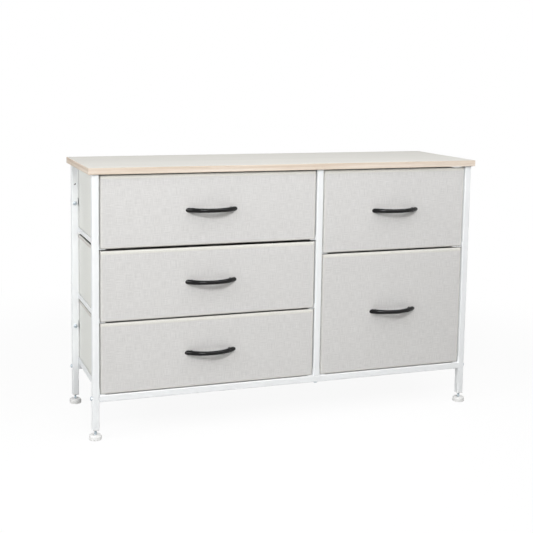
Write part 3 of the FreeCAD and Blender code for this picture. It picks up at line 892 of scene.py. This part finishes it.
def cover(cloth, finish, wanted):
    """In edit mode, makes the faces that pass a test of another cloth."""
    pick(cloth, "FACE", wanted)
    cloth.active_material_index = OUTSIDE.index(finish)
    bpy.ops.object.material_slot_assign()


def sew_box(name):
    """The cloth of one drawer, still without its thickness."""
    low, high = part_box(f"{name}_bin")
    low.x -= SIDE_EASE
    high.x += SIDE_EASE
    high.z += RIM_RISE[name]
    cloth = add_block(f"{name}_cloth", low, high)
    for finish in OUTSIDE + (lining,) * len(OUTSIDE):
        cloth.data.materials.append(finish)
    with editing(cloth):
        open_up(cloth, lambda face: face.normal.z > 0.5, FOLD_RADIUS, segments=3)
        for axis in (0, 1):
            cut_at(axis, low[axis] + FOLD_REACH)
            cut_at(axis, high[axis] - FOLD_REACH)
        for level in (low.z + FOLD_REACH, high.z - TAPE_HEIGHT, high.z - SEAM_DROP):
            cut_at(2, level)
        for axis in (0, 1, 2):
            pick(cloth, "EDGE", lambda edge: runs_along(edge, axis))
            bpy.ops.mesh.subdivide(number_cuts=round((high - low)[axis] / GRID))
        pick_all()
        bpy.ops.uv.cube_project(cube_size=1.0)
        cover(cloth, side_cloth, lambda face: face.calc_center_median().y > low.y + FOLD_RADIUS)
        cover(cloth, under_cloth, lambda face: face.normal.z < -0.9)
    cloth.data.uv_layers[0].name = "cloth"
    weigh(cloth, low, high)
    return cloth


cloths = {name: sew_box(name) for name in drawers}
print("open boxes:", [len(cloth.data.polygons) for cloth in cloths.values()], "faces")

# %% Let the cloth give
def cloud_texture(name, size):
    """A soft cloud that modifiers can read, with features of a size in metres."""
    texture = bpy.data.textures.new(name, "CLOUDS")
    texture.noise_scale = size
    return texture


bow_cloud = cloud_texture("bow_cloud", BOW_SIZE)
ripple_cloud = cloud_texture("ripple_cloud", RIPPLE_SIZE)
for cloth in cloths.values():
    give(cloth, "DISPLACE", texture=bow_cloud, texture_coords="LOCAL", vertex_group="slack",
         strength=BOW, mid_level=0.45)
    give(cloth, "DISPLACE", texture=ripple_cloud, texture_coords="LOCAL", vertex_group="slack",
         strength=RIPPLE, mid_level=0.5)
    give(cloth, "DISPLACE", direction="Z", vertex_group="sag", strength=-RIM_SAG, mid_level=0)
    give(cloth, "DISPLACE", direction="Y", vertex_group="lean", strength=RIM_LEAN, mid_level=0)
    print(cloth.name, "bows by up to", BOW / MM, "mm, and its rim sags by", RIM_SAG / MM, "mm")

# %% [markdown]
# ## Rim tape and stitches
# The raw upper edge of each drawer is bound: a tape is folded over it and sewn through. The tape has to
# follow the bowed, sagging rim, so it is taken from the cloth's own upper row of faces: that strip is
# copied and thickened to both sides. An edge loop along the strip, made a curve, carries the stitches:
# one stitch is repeated along it by an Array and bent onto it by a Curve modifier.

# %% Rim tape
TAPE_PROUD = 0.5 * MM
TAPE_ROUND = 1.1 * MM
TAPE_THICKNESS = CLOTH + 2 * TAPE_PROUD


def copy_marked(cloth, mark, kind, name):
    """The edges or faces of a drawer's cloth that a vertex group marks, as an object of their own."""
    with editing(cloth):
        bpy.ops.mesh.select_mode(type="VERT")
        bpy.ops.mesh.select_all(action="DESELECT")
        cloth.vertex_groups.active = cloth.vertex_groups[mark]
        bpy.ops.object.vertex_group_select()
        bpy.ops.mesh.select_mode(type=kind)
        bpy.ops.mesh.duplicate()
        bpy.ops.mesh.separate(type="SELECTED")
    copy = next(piece for piece in bpy.context.selected_objects if piece != cloth)
    copy.name = name
    copy.data.name = name
    copy.data.materials.clear()
    copy.vertex_groups.clear()
    return copy


def bind_rim(name):
    """The tape over one drawer's rim."""
    rim = copy_marked(cloths[name], "bound", "FACE", f"{name}_rim_tape")
    rim.data.materials.append(tape)
    heights = [vertex.co.z for vertex in rim.data.vertices]
    halfway = (min(heights) + max(heights)) / 2
    with editing(rim):
        pick(rim, "EDGE", lambda edge: edge.is_boundary and middle(edge).z > halfway)
        bpy.ops.transform.translate(value=(0, 0, TAPE_PROUD / 2))
    give(rim, "SOLIDIFY", thickness=TAPE_THICKNESS, offset=2 * TAPE_PROUD / TAPE_THICKNESS - 1,
         use_even_offset=True)
    give(rim, "BEVEL", width=TAPE_ROUND, segments=3, limit_method="ANGLE", angle_limit=math.radians(60))
    return rim


for name in drawers:
    settle(bind_rim(name), f"drawer_{name}")

# %% Stitches
STITCH_PITCH = 4.2 * MM
STITCH_LENGTH = 3.0 * MM
STITCH_WIDTH = 0.55 * MM
STITCH_SIDES = 6
STITCH_RINGS = 4


def sew_row(name):
    """A row of stitches through one drawer's tape."""
    path = copy_marked(cloths[name], "seam", "EDGE", f"{name}_seam_path")
    alone(path)
    bpy.ops.object.convert(target="CURVE")
    path.data.twist_mode = "Z_UP"
    corners = [point.co.xy for point in path.data.splines[0].points]
    turning = sum(a.x * b.y - a.y * b.x for a, b in zip(corners, corners[1:] + corners[:1]))
    outward = -1 if turning > 0 else 1
    deselect()
    bpy.ops.mesh.primitive_uv_sphere_add(segments=STITCH_SIDES, ring_count=STITCH_RINGS, radius=0.5)
    row = bpy.context.object
    row.scale = (STITCH_LENGTH, STITCH_WIDTH, STITCH_WIDTH)
    row.location = (STITCH_PITCH / 2, outward * TAPE_PROUD, 0)
    place(row, f"{name}_stitches")
    row.data.materials.append(thread)
    give(row, "ARRAY", fit_type="FIT_CURVE", curve=path, use_relative_offset=False,
         use_constant_offset=True, constant_offset_displace=(STITCH_PITCH, 0, 0))
    give(row, "CURVE", object=path, deform_axis="POS_X")
    bpy.data.objects.remove(path)
    return row


for name in drawers:
    row = sew_row(name)
    settle(row, f"drawer_{name}")
    print(row.name, len(row.data.polygons) // (STITCH_SIDES * STITCH_RINGS), "stitches")

# %% [markdown]
# ## Cloth thickness
# Only now does the cloth get its thickness, inwards, because tape and stitches had to be taken from a
# single thin sheet. Solidify gives each inner face the material three slots further on, which is the
# lining.

# %% Cloth thickness
for name, cloth in cloths.items():
    give(cloth, "SOLIDIFY", thickness=CLOTH, offset=-1, use_even_offset=True, material_offset=len(OUTSIDE))
    settle(cloth, f"drawer_{name}", stands_for=[f"{name}_bin"])

# %% [markdown]
# ## Stiff boards in the drawers
# A bare fibreboard panel behind the front and another on the base keep each drawer in shape. Fibreboard
# is pressed from short fibres, so its finish is a fine felt of them in two browns. The front panel's CAD
# shape is right. The base board lies loose in the drawer, so its corners are rounded and its edges eased:
# a block gets a large bevel on its upright edges and then a small one around its faces.

# %% Fibreboard
fibreboard, tree, spot = new_finish("fibreboard", Specular_IOR_Level=0.2)
skin = use(tree, skin_group, spot, Grains=1200.0)
fibres = noise(tree, stretch(tree, spot, (260, 260, 700)), 1.0, 4.0)
colour = tint(tree, fibres, (138, 106, 76), (190, 158, 122))
colour = tint(tree, between(tree, skin["Cloud"], 0.0, 0.4), colour, (150, 120, 90))
coat(tree, colour, fibres, roughness=(0.65, 0.9))
raise_surface(tree, skin["Height"], 0.05 * MM)
dress([name for name in nodes if name.endswith("_front_panel")], fibreboard)

# %% Base boards
BASE_CORNER = 4 * MM
BASE_EASE = 0.6 * MM


def saw_base(name):
    """The loose board on the floor of one drawer."""
    base = add_block(f"{name}_base", *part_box(f"{name}_base_board"))
    with editing(base):
        pick(base, "EDGE", lambda edge: edge.verts[0].co.xy == edge.verts[1].co.xy)
        round_off(BASE_CORNER, segments=5)
        pick(base, "FACE", lies_flat)
        round_off(BASE_EASE, segments=2)
    base.data.materials.append(fibreboard)
    return base


for name in drawers:
    settle(saw_base(name), f"drawer_{name}", stands_for=[f"{name}_base_board"])

# %% [markdown]
# ## Handles
# Each drawer has a black bow handle that grows thicker towards its ends. The bow is a circle spun along
# an arc and swollen by a weight; each end stands on a short round foot, where the screw goes in. Joined
# as they are, they would meet in hard creases, so a fine voxel remesh makes one skin of them and a
# smoothing pass blends the joints, as in the real casting. The back is cut flat where it lies against the
# cloth.

# %% Handle gloss
handle_gloss, tree, spot = new_finish("handle_black_gloss", Specular_IOR_Level=0.22)
skin = use(tree, skin_group, spot, Grains=700.0)
worn = use(tree, rub_group, spot, Width=1.5 * MM)["Mask"]
smudge = noise(tree, spot, 90.0, 4.0)
colour = tint(tree, skin["Cloud"], (6, 6, 7), (14, 14, 15))
colour = tint(tree, calc(tree, "MULTIPLY", worn, 0.2), colour, (46, 45, 45))
coat(tree, colour, smudge, roughness=(0.06, 0.16))
raise_surface(tree, skin["Height"], 0.04 * MM)
print("handle finish:", handle_gloss.name)

# %% Handle bow
BAR = 10.2 * MM
END_BAR = 11.2 * MM
END_REACH = 6.5 * MM
END_TURN = math.radians(6)
BOW_SIDES = 24
BOW_STEPS = 48
SWELL = (0.2, 0.9)


def bend_bow(name, low, high):
    """The bar, spun along its arc from behind one foot to behind the other, and swollen towards its ends."""
    half_chord = (high.x - low.x) / 2 - END_REACH
    rise = high.y - low.y - BAR / 2
    radius = (half_chord ** 2 + rise ** 2) / (2 * rise)
    reach = math.asin(half_chord / radius) + END_TURN
    centre = Vector(((low.x + high.x) / 2, low.y + BAR / 2 + radius, (low.z + high.z) / 2))
    start = centre + radius * Vector((-math.sin(reach), -math.cos(reach), 0))
    deselect()
    bpy.ops.mesh.primitive_circle_add(vertices=BOW_SIDES, radius=BAR / 2, fill_type="NGON", location=start,
                                      rotation=(0, math.pi / 2, -reach))
    bow = place(bpy.context.object, f"{name}_bow")
    with editing(bow):
        pick_all()
        bpy.ops.mesh.spin(steps=BOW_STEPS, angle=-2 * reach, center=centre, axis=(0, 0, 1))
        pick_all()
        bpy.ops.mesh.normals_make_consistent(inside=False)
    swell = bow.vertex_groups.new(name="swell")
    for vertex in bow.data.vertices:
        swell.add([vertex.index], smooth(abs(vertex.co.x - centre.x) / half_chord, *SWELL), "REPLACE")
    give(bow, "DISPLACE", vertex_group="swell", strength=(END_BAR - BAR) / 2, mid_level=0)
    return bow


print("bar", BAR / MM, "mm thick, and", END_BAR / MM, "mm at its ends")

# %% Handle feet
FOOT = 11 * MM
FOOT_THICKNESS = 5 * MM
FOOT_SPARE = 1 * MM
FOOT_ROUND = 2 * MM
FOOT_SIDES = 32


def turn_foot(name, middle_x, low, high):
    """The round foot under one end of the bar, around its screw."""
    deselect()
    bpy.ops.mesh.primitive_cylinder_add(
        vertices=FOOT_SIDES, radius=FOOT / 2, depth=FOOT_THICKNESS + FOOT_SPARE,
        location=(middle_x, high.y - (FOOT_THICKNESS - FOOT_SPARE) / 2, (low.z + high.z) / 2),
        rotation=(math.pi / 2, 0, 0),
    )
    foot = place(bpy.context.object, f"{name}_foot")
    with editing(foot):
        pick(foot, "FACE", lambda face: face.normal.y < -0.9)
        round_off(FOOT_ROUND, segments=4)
    return foot


print("handle feet", FOOT / MM, "mm across")

# %% Cast handles
SCREW_HEAD = 8 * MM
VOXEL = 0.5 * MM
BLEND_PASSES = 20


def cast_handle(name):
    """Bow and feet as one skin, flat against the drawer."""
    low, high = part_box(f"{name}_handle")
    screw_low, screw_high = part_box(f"{name}_handle_screws")
    handle = bend_bow(name, low, high)
    feet_pair = [
        turn_foot(name, screw_low.x + SCREW_HEAD / 2, low, high),
        turn_foot(name, screw_high.x - SCREW_HEAD / 2, low, high),
    ]
    alone(handle)
    for foot in feet_pair:
        foot.select_set(True)
    bpy.ops.object.join()
    handle.name = f"{name}_pull"
    handle.data.name = handle.name
    handle.vertex_groups.clear()
    give(handle, "REMESH", mode="VOXEL", voxel_size=VOXEL)
    give(handle, "SMOOTH", factor=0.5, iterations=BLEND_PASSES)
    with editing(handle):
        pick_all()
        bpy.ops.mesh.bisect(plane_co=high, plane_no=(0, 1, 0), clear_outer=True, use_fill=True)
    handle.data.materials.append(handle_gloss)
    return handle


for name in drawers:
    settle(cast_handle(name), f"drawer_{name}", stands_for=[f"{name}_handle"])

# %% [markdown]
# ## Feet
# A foot is a moulded off-white pad on a threaded zinc stem, which screws into a plug in the post. The pad
# starts as a cylinder with a rounded crown and a sunk seat for the stem. The thread is a zigzag that the
# Screw modifier winds up the stem, one pitch a turn: a bump in the finish would stay flat at its outline.

# %% Foot plastic
foot_plastic, tree, spot = new_finish("moulded_plastic", Specular_IOR_Level=0.4)
skin = use(tree, skin_group, spot, Grains=1500.0)
dusty = use(tree, dust_group, spot, Amount=0.2)["Mask"]
cloud = noise(tree, spot, 120.0, 3.0)
colour = tint(tree, cloud, (232, 232, 231), (245, 245, 244))
colour = tint(tree, dusty, colour, (214, 212, 207))
coat(tree, colour, cloud, roughness=(0.35, 0.55))
raise_surface(tree, skin["Height"], 0.04 * MM)
dress(["leg_plugs"], foot_plastic)

# %% Foot pads
PAD_CROWN = 4.6 * MM
PAD_TOE = 1.4 * MM
PAD_SIDES = 48
SEAT_RADIUS = 5 * MM
SEAT_DEPTH = 0.8 * MM


def mould_pad(corner):
    """A foot's pad with its crown and a sunk seat for the stem."""
    low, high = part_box(f"foot_pad_{corner}")
    radius = (high.x - low.x) / 2
    deselect()
    bpy.ops.mesh.primitive_cylinder_add(
        vertices=PAD_SIDES, radius=radius, depth=high.z - low.z, location=(low + high) / 2,
    )
    pad = place(bpy.context.object, f"{corner}_pad")
    with editing(pad):
        pick(pad, "FACE", lambda face: face.normal.z > 0.9)
        round_off(PAD_CROWN, segments=6)
        pick(pad, "FACE", lambda face: face.normal.z < -0.9)
        round_off(PAD_TOE, segments=3)
        pick(pad, "FACE", lambda face: face.normal.z > 0.99 and len(face.verts) > 8)
        bpy.ops.mesh.inset(thickness=radius - PAD_CROWN - SEAT_RADIUS)
        bpy.ops.mesh.extrude_region_move(TRANSFORM_OT_translate={"value": (0, 0, -SEAT_DEPTH)})
    pad.data.materials.append(foot_plastic)
    return pad


print("pad crown", PAD_CROWN / MM, "mm")

# %% Foot stems
THREAD_PITCH = 1.0 * MM
THREAD_DEPTH = 0.55 * MM
THREAD_LEAD = 1.52 * MM
THREAD_STEPS = 20
SPARE_TURNS = 2


def wind_stem(corner):
    """A foot's stem with a real thread, wound a turn too long at each end and cut off square."""
    low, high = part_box(f"foot_stem_{corner}")
    centre = (low + high) / 2
    radius = (high.x - low.x) / 2
    turns = math.ceil((high.z - low.z) / THREAD_PITCH) + SPARE_TURNS
    deselect()
    bpy.ops.mesh.primitive_plane_add(size=THREAD_PITCH, rotation=(math.pi / 2, 0, 0))
    stem = place(bpy.context.object, f"{corner}_thread")
    root = radius - THREAD_DEPTH
    with editing(stem):
        pick(stem, "EDGE", lambda edge: middle(edge).x < -THREAD_PITCH / 4)
        bpy.ops.mesh.subdivide(number_cuts=1)
        pick(stem, "VERT", lambda vertex: vertex.co.x > 0)
        bpy.ops.mesh.delete(type="VERT")
        pick_all()
        bpy.ops.transform.translate(value=(root + THREAD_PITCH / 2, 0, THREAD_PITCH / 2))
        pick(stem, "VERT", lambda vertex: abs(vertex.co.z - THREAD_PITCH / 2) < THREAD_PITCH / 10)
        bpy.ops.transform.translate(value=(THREAD_DEPTH, 0, 0))
    give(stem, "SCREW", axis="Z", angle=2 * math.pi, screw_offset=THREAD_PITCH, iterations=turns,
         steps=THREAD_STEPS, render_steps=THREAD_STEPS)
    with editing(stem):
        pick_all()
        bpy.ops.mesh.remove_doubles(threshold=HAIR)
        bpy.ops.transform.translate(value=(centre.x, centre.y, low.z - THREAD_LEAD))
        bpy.ops.mesh.bisect(plane_co=low, plane_no=(0, 0, 1), clear_inner=True, use_fill=True)
        pick_all()
        bpy.ops.mesh.bisect(plane_co=high, plane_no=(0, 0, 1), clear_outer=True, use_fill=True)
        pick_all()
        bpy.ops.mesh.normals_make_consistent(inside=False)
    stem.data.materials.append(zinc)
    return stem


for corner in feet:
    settle(mould_pad(corner), f"foot_{corner}", stands_for=[f"foot_pad_{corner}"])
    settle(wind_stem(corner), f"foot_{corner}", stands_for=[f"foot_stem_{corner}"])
